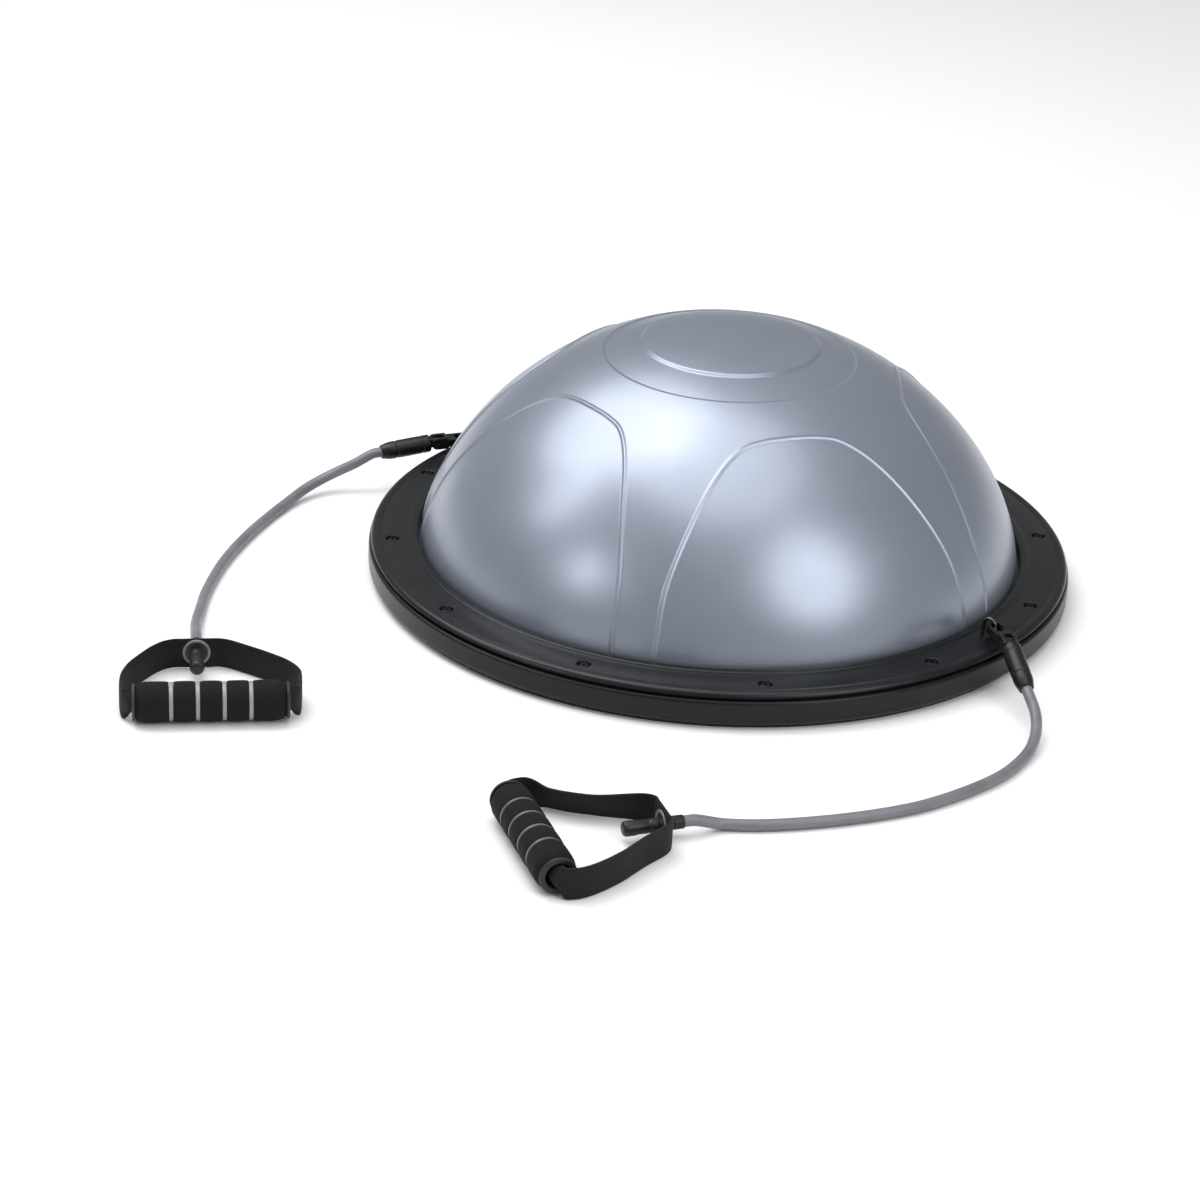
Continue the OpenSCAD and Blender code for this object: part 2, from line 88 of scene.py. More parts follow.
def sharpen(obj, angle=SHARP_ANGLE):
    """Smooth shading that keeps edges sharper than the angle."""
    shade_smooth(obj.data)
    obj.data.set_sharp_from_angle(angle=math.radians(angle))


def smoothstep(a, b, x):
    t = min(max((x - a) / (b - a), 0.0), 1.0)
    return t * t * (3 - 2 * t)


def arc(cx, cy, r, a0, a1, steps):
    """Points of an arc for a profile, from one angle to another in degrees."""
    return [
        (
            cx + r * math.cos(math.radians(a0 + (a1 - a0) * i / steps)),
            cy + r * math.sin(math.radians(a0 + (a1 - a0) * i / steps)),
        )
        for i in range(steps + 1)
    ]


def skin(rows, sides, closed=False, base=0):
    """Faces over rows of sides points each, the first point numbered base.

    The rows join up into a ring when closed; otherwise both ends get a cap.
    """
    faces = []
    for i in range(rows if closed else rows - 1):
        near, far = base + i * sides, base + (i + 1) % rows * sides
        for k in range(sides):
            m = (k + 1) % sides
            faces.append((near + k, near + m, far + m, far + k))
    if not closed:
        faces.append(tuple(base + k for k in range(sides - 1, -1, -1)))
        faces.append(tuple(base + (rows - 1) * sides + k for k in range(sides)))
    return faces


def lathe(profile, sides, closed=False, base=0):
    """Verts and faces of a turned shape about z. The profile is (radius, z) in mm."""
    verts = []
    for r, z in profile:
        for k in range(sides):
            a = 2 * math.pi * k / sides
            verts.append(Vector((r * math.cos(a), r * math.sin(a), z)) * MM)
    return verts, skin(len(profile), sides, closed, base)


def turned(name, profiles, sides, matrix, angle=SHARP_ANGLE):
    """One object of closed turned shapes; profiles is a list of (profile, z offset in mm)."""
    verts, faces = [], []
    for profile, offset in profiles:
        v, f = lathe([(r, z + offset) for r, z in profile], sides, True, len(verts))
        verts += v
        faces += f
    obj = make_object(name, [matrix @ v for v in verts], faces)
    sharpen(obj, angle)
    recalc(obj)
    return obj


def recalc(obj):
    """Turns every face outwards."""
    bm = bmesh.new()
    bm.from_mesh(obj.data)
    bmesh.ops.recalc_face_normals(bm, faces=bm.faces)
    bm.to_mesh(obj.data)
    bm.free()


def apply_modifiers(obj):
    bpy.context.view_layer.update()
    evaluated = obj.evaluated_get(bpy.context.evaluated_depsgraph_get())
    mesh = bpy.data.meshes.new_from_object(evaluated)
    obj.modifiers.clear()
    obj.data = mesh


def cut_away(obj, cutter):
    """Takes the cutter's volume out of the object, and removes the cutter."""
    recalc(cutter)
    cut = obj.modifiers.new("cut", "BOOLEAN")
    cut.object = cutter
    cut.operation = "DIFFERENCE"
    cut.solver = "EXACT"
    apply_modifiers(obj)
    bpy.data.objects.remove(cutter)


def spline(points, steps):
    """A smooth line through points, by a centripetal spline."""
    p = [Vector(q) for q in points]
    p = [2 * p[0] - p[1]] + p + [2 * p[-1] - p[-2]]
    out = []
    for i in range(1, len(p) - 2):
        a, b, c, d = p[i - 1 : i + 3]
        ta = 0.0
        tb = ta + max((b - a).length, 1e-9) ** 0.5
        tc = tb + max((c - b).length, 1e-9) ** 0.5
        td = tc + max((d - c).length, 1e-9) ** 0.5
        for k in range(steps):
            t = tb + (tc - tb) * k / steps
            ab = a.lerp(b, (t - ta) / (tb - ta))
            bc = b.lerp(c, (t - tb) / (tc - tb))
            cd = c.lerp(d, (t - tc) / (td - tc))
            abc = ab.lerp(bc, (t - ta) / (tc - ta))
            bcd = bc.lerp(cd, (t - tb) / (td - tb))
            out.append(abc.lerp(bcd, (t - tb) / (tc - tb)))
    out.append(p[-2])
    return out


def resample(line, step):
    """Points spaced evenly along a line."""
    total = sum((b - a).length for a, b in zip(line, line[1:]))
    count = max(2, round(total / step))
    spacing = total / count
    out, walked, target = [line[0]], 0.0, spacing
    for a, b in zip(line, line[1:]):
        length = (b - a).length
        while length > 0 and walked + length >= target - 1e-9 and len(out) < count:
            out.append(a.lerp(b, (target - walked) / length))
            target += spacing
        walked += length
    out.append(line[-1])
    return out


def line_direction(line, i):
    """The direction of a line at its point i."""
    return (line[min(i + 1, len(line) - 1)] - line[max(i - 1, 0)]).normalized()


def sweep(name, line, radius, sides):
    """A closed round tube along a line in metres, with UVs along and round it."""
    verts, uvs = [], []
    walked = 0.0
    for i, p in enumerate(line):
        if i:
            walked += (p - line[i - 1]).length
        t = line_direction(line, i)
        across = t.cross(Vector((0, 0, 1))).normalized()
        up = across.cross(t)
        for k in range(sides):
            a = 2 * math.pi * k / sides
            verts.append(p + radius * (math.cos(a) * across + math.sin(a) * up))
            uvs.append((walked, k / sides))
    obj = make_object(name, verts, skin(len(line), sides), uvs=uvs)
    recalc(obj)
    return obj


# ---------------------------------------------------------------- camera
CAMERA_AT = Vector((1.5993, -2.2012, 1.2514))
CAMERA_AIM = Vector((-0.0345, -0.1171, 0.0))
CAMERA_ROLL = math.radians(2.65)
SENSOR_WIDTH, FOCAL_LENGTH = 36, 104.05  # mm
CLIP_END = 60  # metres


def make_camera():
    forward = (CAMERA_AIM - CAMERA_AT).normalized()
    level = forward.cross(Vector((0, 0, 1))).normalized()
    over = level.cross(forward)
    right = level * math.cos(CAMERA_ROLL) + over * math.sin(CAMERA_ROLL)
    up = right.cross(forward)
    camera = bpy.data.objects.new("camera", bpy.data.cameras.new("camera"))
    camera.data.sensor_width = SENSOR_WIDTH
    camera.data.lens = FOCAL_LENGTH
    camera.data.clip_end = CLIP_END
    camera.matrix_world = Matrix((right, up, -forward)).transposed().to_4x4()
    camera.matrix_world.translation = CAMERA_AT
    bpy.context.scene.collection.objects.link(camera)
    bpy.context.scene.camera = camera


make_camera()


# ---------------------------------------------------------------- materials
class Nodes:
    """A material's node tree, with short calls for the nodes that are used here."""

    def __init__(self, name):
        self.mat = bpy.data.materials.new(name)
        self.mat.use_nodes = True
        self.tree = self.mat.node_tree
        self.shader = self.tree.nodes["Principled BSDF"]
        self.coords = self.tree.nodes.new("ShaderNodeTexCoord")

    def new(self, kind, **values):
        node = self.tree.nodes.new(kind)
        for key, value in values.items():
            setattr(node, key, value)
        return node

    def link(self, out, into):
        self.tree.links.new(out, into)

    def set(self, **values):
        for key, value in values.items():
            self.shader.inputs[key.replace("_", " ")].default_value = value

    def noise(self, scale, detail=3, roughness=0.55, distortion=0.0):
        node = self.new("ShaderNodeTexNoise")
        node.inputs["Scale"].default_value = scale
        node.inputs["Detail"].default_value = detail
        node.inputs["Roughness"].default_value = roughness
        node.inputs["Distortion"].default_value = distortion
        self.link(self.coords.outputs["Object"], node.inputs["Vector"])
        return node.outputs["Fac"]

    def cells(self, scale):
        node = self.new("ShaderNodeTexVoronoi", feature="F1")
        node.inputs["Scale"].default_value = scale
        self.link(self.coords.outputs["Object"], node.inputs["Vector"])
        return node.outputs["Distance"]

    def math(self, operation, a, b=0.0):
        node = self.new("ShaderNodeMath", operation=operation)
        for value, socket in ((a, node.inputs[0]), (b, node.inputs[1])):
            if isinstance(value, (int, float)):
                socket.default_value = value
            else:
                self.link(value, socket)
        return node.outputs[0]

    def span(self, value, low, high, to_low=0.0, to_high=1.0):
        """The value's range low to high, spread over to_low to to_high."""
        node = self.new("ShaderNodeMapRange")
        self.link(value, node.inputs["Value"])
        ends = {"From Min": low, "From Max": high, "To Min": to_low, "To Max": to_high}
        for key, number in ends.items():
            node.inputs[key].default_value = number
        return node.outputs["Result"]

    def mix(self, factor, a, b):
        node = self.new("ShaderNodeMix", data_type="RGBA")
        self.link(factor, node.inputs["Factor"])
        # sockets 6 and 7 are the two colours of this node, and 2 is its colour output
        for value, socket in ((a, node.inputs[6]), (b, node.inputs[7])):
            if isinstance(value, tuple):
                socket.default_value = (*value, 1)
            else:
                self.link(value, socket)
        return node.outputs[2]

    def bumps(self, *layers):
        """Each layer is (height, distance in mm, strength)."""
        normal = None
        for height, distance, strength in layers:
            node = self.new("ShaderNodeBump")
            node.inputs["Distance"].default_value = distance * MM
            node.inputs["Strength"].default_value = strength
            self.link(height, node.inputs["Height"])
            if normal is not None:
                self.link(normal, node.inputs["Normal"])
            normal = node.outputs["Normal"]
        self.link(normal, self.shader.inputs["Normal"])

    def color(self, socket):
        self.link(socket, self.shader.inputs["Base Color"])

    def rough(self, socket):
        self.link(socket, self.shader.inputs["Roughness"])


def moulded(name, dark, light, rough, grain, depth, specular=0.5):
    """Moulded plastic or rubber: fine grain, soft blotches, and slightly uneven gloss."""
    n = Nodes(name)
    n.set(Specular_IOR_Level=specular)
    blotch = n.noise(22, 4)
    fine = n.noise(grain, 2)
    n.color(n.mix(n.span(blotch, 0.3, 0.7), dark, light))
    uneven = n.math("ADD", n.math("MULTIPLY", blotch, 0.12), n.math("MULTIPLY", fine, 0.08))
    n.rough(n.math("ADD", uneven, rough - 0.1))
    scratch = n.noise(160, 5, 0.7, 0.6)
    n.bumps((scratch, 0.05, 0.25), (fine, depth, 0.5))
    return n.mat


def metal(name, color, rough):
    """Bare or plated metal: fine brushing, tarnished in patches."""
    n = Nodes(name)
    n.set(Metallic=1.0)
    tarnish = n.noise(120, 4)
    fine = n.noise(700, 3, 0.6, 0.4)
    darker = tuple(c * 0.78 for c in color)
    n.color(n.mix(n.span(tarnish, 0.35, 0.7), color, darker))
    n.rough(n.math("ADD", n.math("MULTIPLY", fine, 0.16), rough - 0.08))
    n.bumps((fine, 0.02, 0.4))
    return n.mat


def dome_material():
    """Pearl-silver vinyl: faint flake, soft clouds of tone, a clear glossy skin."""
    n = Nodes("pearl_vinyl")
    n.set(Metallic=0.6, Coat_Weight=0.3, Coat_Roughness=0.25, Coat_IOR=1.45)
    cloud = n.noise(5.5, 3, 0.5)
    flake = n.cells(2600)
    tone = n.mix(n.span(cloud, 0.35, 0.65), (0.226, 0.254, 0.314), (0.258, 0.288, 0.352))
    n.color(n.mix(n.math("MULTIPLY", flake, 0.35), tone, (0.38, 0.41, 0.49)))
    n.rough(n.math("ADD", n.math("MULTIPLY", n.noise(40, 3), 0.08), 0.31))
    n.bumps((n.noise(26, 2), 0.22, 0.12), (n.noise(900, 2), 0.025, 0.35))
    return n.mat


# the weave: ribs and yarns in radians per metre of webbing, and half a zigzag's width in metres
RIBS_ALONG, RIBS_ACROSS, YARNS, ZIGZAG = 3400.0, 2600.0, 2992.0, 0.0021
TUBE_LINES = 226.0  # radians round the tube, 36 lines


def webbing_material():
    """Woven polypropylene: slanted ribs that turn back and forth across the strap."""
    n = Nodes("webbing_weave")
    split = n.new("ShaderNodeSeparateXYZ")
    n.link(n.coords.outputs["UV"], split.inputs[0])
    along, across = split.outputs[0], split.outputs[1]
    zig = n.math("PINGPONG", across, ZIGZAG)
    phase = n.math(
        "ADD", n.math("MULTIPLY", along, RIBS_ALONG), n.math("MULTIPLY", zig, RIBS_ACROSS)
    )
    rib = n.math("SINE", phase)
    yarn = n.math("SINE", n.math("MULTIPLY", across, YARNS))
    weave = n.math("ADD", n.math("MULTIPLY", rib, 0.7), n.math("MULTIPLY", yarn, 0.35))
    fuzz = n.noise(2600, 3, 0.7)
    # the colour follows the weave's relief, darker in its grooves than on its ribs: painted shade
    # in the grooves of one-colour yarn
    n.color(n.mix(n.span(weave, -1.0, 1.0), (0.0045, 0.0045, 0.005), (0.014, 0.014, 0.0155)))
    n.rough(n.span(fuzz, 0.2, 0.8, 0.62, 0.86))
    n.set(Sheen_Weight=0.03, Sheen_Roughness=0.4, Specular_IOR_Level=0.22)
    n.bumps((fuzz, 0.08, 0.4), (weave, 0.22, 0.7))
    return n.mat


def foam_material():
    """Closed-cell foam: open pores on the cut skin, matt."""
    n = Nodes("cell_foam")
    pores = n.cells(1500)
    soft = n.noise(420, 4, 0.6)
    # the colour darkens towards each pore's middle, where the bump sinks a pit: painted shade in
    # the pores
    n.color(n.mix(n.span(pores, 0.1, 0.7), (0.003, 0.003, 0.0033), (0.009, 0.009, 0.0098)))
    n.rough(n.span(soft, 0.3, 0.7, 0.74, 0.9))
    n.set(Specular_IOR_Level=0.17, Sheen_Weight=0.01)
    n.bumps((n.noise(90, 3), 0.5, 0.2), (pores, 0.28, 0.45), (soft, 0.14, 0.3))
    return n.mat


def tube_material():
    """Extruded latex tube: faint lines along its length, a satin bloom."""
    n = Nodes("latex_tube")
    split = n.new("ShaderNodeSeparateXYZ")
    n.link(n.coords.outputs["UV"], split.inputs[0])
    lines = n.math("SINE", n.math("MULTIPLY", split.outputs[1], TUBE_LINES))
    bloom = n.noise(60, 4, 0.6)
    n.color(n.mix(n.span(bloom, 0.3, 0.7), (0.125, 0.129, 0.141), (0.168, 0.173, 0.19)))
    n.rough(n.span(bloom, 0.2, 0.8, 0.34, 0.5))
    n.set(Coat_Weight=0.1, Coat_Roughness=0.3)
    n.bumps((lines, 0.02, 0.4), (n.noise(1100, 2), 0.03, 0.4))
    return n.mat


MATS = {
    "dome": dome_material(),
    "clamp": moulded(
        "ring_plastic", (0.0055, 0.006, 0.007), (0.0095, 0.0103, 0.0118), 0.3, 1500, 0.05,
        specular=0.27,
    ),
    "pan": moulded(
        "pan_plastic", (0.005, 0.0052, 0.006), (0.0085, 0.0088, 0.01), 0.32, 1300, 0.05,
        specular=0.22,
    ),
    "foot": moulded("foot_rubber", (0.010, 0.010, 0.011), (0.018, 0.018, 0.019), 0.8, 1700, 0.1),
    "screw": metal("black_oxide", (0.03, 0.03, 0.032), 0.45),
    "valve": moulded("valve_plastic", (0.55, 0.55, 0.57), (0.62, 0.62, 0.64), 0.35, 1500, 0.02),
    "eye": metal("nickel_wire", (0.12, 0.12, 0.125), 0.3),
    "nut": metal("zinc_nut", (0.5, 0.51, 0.52), 0.38),
    "hook": moulded(
        "black_hook", (0.0035, 0.0035, 0.004), (0.007, 0.007, 0.0075), 0.4, 900, 0.03,
        specular=0.28,
    ),
    "pin": metal("steel_pin", (0.09, 0.09, 0.092), 0.4),
    "sleeve": moulded(
        "sleeve_rubber", (0.004, 0.0042, 0.0045), (0.008, 0.0083, 0.009), 0.36, 1600, 0.04,
        specular=0.33,
    ),
    "ferrule": metal("brass_ferrule", (0.62, 0.5, 0.28), 0.35),
    "tube": tube_material(),
    "stopper": moulded(
        "stopper_plastic", (0.012, 0.0125, 0.0135), (0.021, 0.0215, 0.023), 0.4, 1500, 0.04,
        specular=0.35,
    ),
    "collar": moulded(
        "collar_plastic", (0.0045, 0.0045, 0.005), (0.009, 0.009, 0.0095), 0.42, 1500, 0.04,
        specular=0.3,
    ),
    "washer": moulded(
        "washer_plastic", (0.009, 0.009, 0.01), (0.015, 0.015, 0.016), 0.5, 1500, 0.03
    ),
    "cap": moulded(
        "cap_plastic", (0.018, 0.0184, 0.0197), (0.029, 0.0294, 0.0315), 0.42, 1500, 0.03,
        specular=0.3,
    ),
    "grommet": moulded(
        "grommet_plastic", (0.15, 0.155, 0.165), (0.2, 0.206, 0.218), 0.36, 1600, 0.03
    ),
    "webbing": webbing_material(),
    "core": moulded("core_plastic", (0.03, 0.03, 0.03), (0.045, 0.045, 0.045), 0.5, 1300, 0.05),
    "foam": foam_material(),
    "ring": moulded("ring_grey", (0.23, 0.235, 0.245), (0.29, 0.295, 0.305), 0.38, 1600, 0.03),
    # a darker copy of ring_grey for the right grip's rings: painted shade, not a different plastic
    "ring_painted_shade": moulded(
        "ring_grey_painted_shade", (0.075, 0.077, 0.082), (0.105, 0.108, 0.114), 0.42, 1600, 0.03
    ),
}


def finish_piece(obj, body, mat, slot, *nodes):
    """Gives a piece its material and body, and hides the CAD nodes that it stands for; its slot is
    not used.
    """
    obj.data.materials.clear()
    obj.data.materials.append(MATS[mat])
    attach(obj, body)
    if nodes:
        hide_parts(*nodes)
    return obj


def dress(node, mat):
    """A CAD node keeps its mesh and gets a better material."""
    obj = frame["nodes"][node]
    if not obj.data.materials:
        obj.data.materials.append(MATS[mat])
    for i in range(len(obj.data.materials)):
        obj.data.materials[i] = MATS[mat]


# ---------------------------------------------------------------- frames of the two bands
# which way each sleeve points, seen from above, and how far it points down, in degrees
HEADING = {"left": -120.0, "right": -38.0}
DROP = {"left": 5.0, "right": 20.0}


def direction(heading, down):
    a, b = math.radians(heading), math.radians(down)
    return Vector((math.cos(a) * math.cos(b), math.sin(a) * math.cos(b), -math.sin(b)))


# each frame's z runs along the band in a sleeve, along the tube at the strap, along the grip
SLEEVE, PULL, GRIP = {}, {}, {}
for side in SIDES:
    across = direction(HEADING[side] + 90, 0)
    SLEEVE[side] = joint_frame(f"{side}_band_lift", direction(HEADING[side], DROP[side]), across)
    roll = Vector(JOINTS[f"{side}_grip_roll"]["axis"])
    pull = JOINTS[f"{side}_handle_swivel"]["axis"]
    PULL[side] = joint_frame(f"{side}_handle_swivel", pull, roll)
    GRIP[side] = joint_frame(f"{side}_grip_roll", roll, (0, 0, -1))

# ---------------------------------------------------------------- cords
TUBE_R, TUBE_SIDES, TUBE_STEP = 4.5, 28, 3.0
SLEEVE_START, SLEEVE_LEN, TUBE_START, STOPPER_LEN = 5.9, 46.0, 27.0, 32.0
SLEEVE_END = SLEEVE_START + SLEEVE_LEN
STOPPER_WALL = 4.0  # the stopper's closed end, beyond the tube's
# the way over the floor, in mm
ROUTE = {
    "left": [
        (-339, -94, 26), (-349, -104, 19), (-356, -120, 13), (-358, -138, 9), (-355, -160, 6),
        (-348, -188, 4.8), (-332, -235, 4.8), (-307, -291, 4.8), (-275, -344, 4.8),
        (-256, -369, 5.5), (-236, -394, 8),
    ],
    "right": [
        (363, -62, 17), (371, -71, 13), (380, -86, 9), (387, -104, 6.4), (391, -125, 5),
        (393, -154, 4.8), (388, -192, 4.8), (375, -238, 4.8), (354, -279, 4.8),
        (328, -317, 4.8), (303, -346, 4.8),
    ],
}
# how far the tube dips below its pull axis at 33 and at 46 mm from the strap
TUBE_DIP = {"left": (0.8, 3.0), "right": (2.2, 6.2)}


def on_axis(matrix, distance):
    """A point on a frame's z axis, at a distance in mm."""
    return matrix @ Vector((0, 0, distance * MM))


for side in SIDES:
    near, far = TUBE_DIP[side]
    in_sleeve = (TUBE_START, SLEEVE_END - 12, SLEEVE_END, SLEEVE_END + 7)
    to_stopper = (
        (46, far), (33, near), (24, 0), (16.5, 0), (0, 0), (STOPPER_WALL - STOPPER_LEN, 0)
    )
    line = [on_axis(SLEEVE[side], d) for d in in_sleeve]
    line += [Vector(p) * MM for p in ROUTE[side]]
    line += [on_axis(PULL[side], d) - Vector((0, 0, dip * MM)) for d, dip in to_stopper]
    smooth = resample(spline(line, 12), TUBE_STEP * MM)
    tube = sweep(f"band_tube_{side}", smooth, TUBE_R * MM, TUBE_SIDES)
    tube.data.materials.append(MATS["tube"])
    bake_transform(tube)
    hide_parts(f"tube_{side}")

# ---------------------------------------------------------------- dome
DOME_R, DOME_Z, DOME_H, DOME_POWER = 255.4, 24.8, 196.0, 1.18
CROWN_IN, CROWN_OUT, CROWN_EDGE, BAND_DEPTH = 75.0, 106.0, 1.6, 1.6
FOOT_R, FOOT_Z, SEAT_Z = 266.0, 24.6, 22.2
DOME_SIDES, LAST_ANGLE = 360, 89.6


def dome_profile(t):
    """Radius and height of the dome's skin at an angle from its widest line, in mm."""
    r = DOME_R * math.cos(math.radians(t))
    z = DOME_Z + DOME_H * math.sin(math.radians(t)) ** DOME_POWER
    inside = smoothstep(CROWN_IN - CROWN_EDGE, CROWN_IN + CROWN_EDGE, r)
    outside = 1 - smoothstep(CROWN_OUT - CROWN_EDGE, CROWN_OUT + CROWN_EDGE, r)
    return r, z - BAND_DEPTH * inside * outside


def dome_angles():
    """The angles of the dome's rows: close at its foot, and closer at the crown band's edges."""
    out = [0.0]
    while out[-1] < LAST_ANGLE:
        t = out[-1]
        r = DOME_R * math.cos(math.radians(t))
        near_edge = min(abs(r - CROWN_IN), abs(r - CROWN_OUT)) < 4
        out.append(t + (0.12 if near_edge else 0.55 if t > 1.5 else 0.3))
    return [t for t in out if t < LAST_ANGLE]


def dome_skin():
    profile = [(FOOT_R, SEAT_Z), (FOOT_R, FOOT_Z), (DOME_R + 0.3, FOOT_Z)]
    profile += [dome_profile(t) for t in dome_angles()]
    verts, faces = lathe(profile, DOME_SIDES)
    # a fan of triangles to the top in place of the flat cap
    top = len(verts)
    verts.append(Vector((0, 0, (DOME_Z + DOME_H) * MM)))
    last = (len(profile) - 1) * DOME_SIDES
    faces[-1:] = [(last + k, last + (k + 1) % DOME_SIDES, top) for k in range(DOME_SIDES)]
    return make_object("dome_skin", verts, faces)


dome = dome_skin()

# moulded arches on the dome: thin raised lines, each half from its foot to its top as
# (height angle, degrees from the arch's middle)
ARCH_COUNT, ARCH_FIRST = 5, -32.3
ARCH_SHAPE = [
    (2, 32.2), (10, 31.8), (23, 31.2), (35, 28.5), (45, 24.6), (50.6, 20.5), (54, 15.6),
    (55.6, 8.0), (56, 0),
]
RIB_HALF, RIB_HIGH, RIB_SINK = 3.0, 1.25, 0.5
RIB_CREST, RIB_STEPS = 1.45, 8


def on_dome(azimuth, t):
    r, z = dome_profile(t)
    a = math.radians(azimuth)
    return Vector((r * math.cos(a), r * math.sin(a), z)) * MM


def dome_normal(azimuth, t):
    e = 0.05  # degrees to each side
    d_t = on_dome(azimuth, t + e) - on_dome(azimuth, t - e)
    d_a = on_dome(azimuth + e, t) - on_dome(azimuth - e, t)
    return d_a.cross(d_t).normalized()


def arch_line():
    """One arch from foot to foot, as (degrees from its middle, height angle)."""
    rise = spline([Vector((w, t, 0)) for t, w in ARCH_SHAPE], 12)
    return [(-p.x, p.y) for p in rise] + [(p.x, p.y) for p in reversed(rise[:-1])]


def add_rib(verts, faces, centre):
    """Adds one arch's raised line, which fades out towards both feet."""
    flat = arch_line()
    line = [on_dome(centre + w, t) for w, t in flat]
    section = [(-RIB_HALF, -RIB_SINK)]
    for i in range(RIB_STEPS + 1):
        u = -RIB_HALF + 2 * RIB_HALF * i / RIB_STEPS
        section.append((u, RIB_HIGH * math.exp(-((u / RIB_CREST) ** 2)) - 0.06))
    section.append((RIB_HALF, -RIB_SINK))
    faces += skin(len(line), len(section), base=len(verts))
    for i, p in enumerate(line):
        n = dome_normal(centre + flat[i][0], flat[i][1])
        b = line_direction(line, i).cross(n).normalized()
        fade = smoothstep(0, 5, min(i, len(line) - 1 - i) + 1)
        for u, h in section:
            high = h * fade if h > 0 else h
            verts.append(p + b * (u * MM) + n * (high * MM))


rib_verts, rib_faces = [], []
for k in range(ARCH_COUNT):
    add_rib(rib_verts, rib_faces, ARCH_FIRST - k * 360 / ARCH_COUNT)
ribs = make_object("dome_arches", rib_verts, rib_faces)
recalc(ribs)
sharpen(ribs, 60)
finish_piece(ribs, "base", "dome", "dome")
finish_piece(dome, "base", "dome", "dome", "dome_bladder")

# ---------------------------------------------------------------- clamp ring
RING_EDGE, RING_IN, RING_SIDES = 298.4, 257.5, 480
RING_TOP, PAN_TOP = 32.0, 25.0
SCREWS, SCREW_R, FIRST_SCREW, POCKET_SIDES = 12, 280.0, 15.0, 40
ring_profile = (
    [(RING_IN, PAN_TOP), (295, PAN_TOP), (295, PAN_TOP + 2.4)]
    + [(295.6, PAN_TOP + 3), (297.8, PAN_TOP + 3)]
    + arc(RING_EDGE - 5, RING_TOP - 5, 5, 14, 90, 10)
    + [(290.5, RING_TOP), (289.5, RING_TOP - 0.35), (288.9, RING_TOP - 0.35), (288, RING_TOP)]
    + [(270.2, RING_TOP), (268.4, RING_TOP + 0.15)]
    + arc(RING_IN + 6, RING_TOP - 0.5, 2.6, 30, 90, 6)
    + arc(RING_IN + 2.5, RING_TOP - 0.4, 2.5, 90, 180, 8)
)
pocket_profile = [(4.7, 28.2), (5.2, 28.6), (5.6, 31.2), (6.6, 32.2), (6.8, 34)]
RING_ANGLE = 28  # its shallow grooves need a lower limit for sharp edges
ring = turned("rim_ring", [(ring_profile, 0)], RING_SIDES, Matrix.Identity(4), RING_ANGLE)
cut_verts, cut_faces = [], []
for k in range(SCREWS):
    a = math.radians(FIRST_SCREW + k * 360 / SCREWS)
    place = Matrix.Translation(Vector((SCREW_R * math.cos(a), SCREW_R * math.sin(a), 0)) * MM)
    v, f = lathe(pocket_profile, POCKET_SIDES, False, len(cut_verts))
    cut_verts += [place @ p for p in v]
    cut_faces += f
cut_away(ring, make_object("pockets", cut_verts, cut_faces))
sharpen(ring, RING_ANGLE)
finish_piece(ring, "base", "clamp", "clamp", "clamp_ring")

for node, mat in (
    ("base_pan", "pan"), ("foot_ring", "foot"), ("clamp_screws", "screw"), ("valve_seat", "valve"),
    ("valve_plug", "valve"),
):
    dress(node, mat)
for side in SIDES:
    for node, mat in (
        ("anchor_eye", "eye"), ("anchor_nuts", "nut"), ("gate_pin", "pin"), ("hook_pin", "pin"),
        ("ferrule", "ferrule"), ("grip_core", "core"),
    ):
        dress(f"{node}_{side}", mat)


# ---------------------------------------------------------------- hooks and gates
def softened(name, node, voxel, rounds):
    """A copy of a CAD node with its hard edges rounded off, as on a cast part. Voxel in mm."""
    source = frame["nodes"][node]
    obj = bpy.data.objects.new(name, source.data.copy())
    bpy.context.scene.collection.objects.link(obj)
    obj.matrix_world = source.matrix_world
    remesh = obj.modifiers.new("remesh", "REMESH")
    remesh.mode = "VOXEL"
    remesh.voxel_size = voxel * MM
    relax = obj.modifiers.new("relax", "SMOOTH")
    relax.factor = 0.5
    relax.iterations = rounds
    apply_modifiers(obj)
    shade_smooth(obj.data)
    return obj


for side in SIDES:
    for part, voxel, rounds in (("hook", 0.3, 5), ("gate", 0.16, 3)):
        node = f"{part}_{side}"
        piece = softened(f"snap_{node}", node, voxel, rounds)
        finish_piece(piece, node, "hook", "hook", node)

# ---------------------------------------------------------------- sleeves
BORE = 4.62
sleeve_profile = (
    [(BORE, TUBE_START), (0.6, TUBE_START), (0.6, SLEEVE_START)]
    + arc(6.4, SLEEVE_START + 1.5, 1.5, -90, 0, 6)
    + [(7.95, 10), (8.0, 12.6), (7.6, 13.1), (7.6, 14.3), (8.0, 14.8), (8.0, 24), (8.0, 34)]
    + [(7.9, 36.2), (7.5, 36.8), (7.5, 38), (7.9, 38.6), (7.9, 41.5)]
    + [(7.7, 44.2), (7.2, 46.8), (6.5, 49.3)]
    + arc(5.3, SLEEVE_END - 1.2, 1.0, 20, 90, 5)
    + [(BORE, SLEEVE_END - 0.3)]
)
TONGUE_R, TONGUE_HALF, SLEEVE_ANGLE = 3.9, 2.8, 30


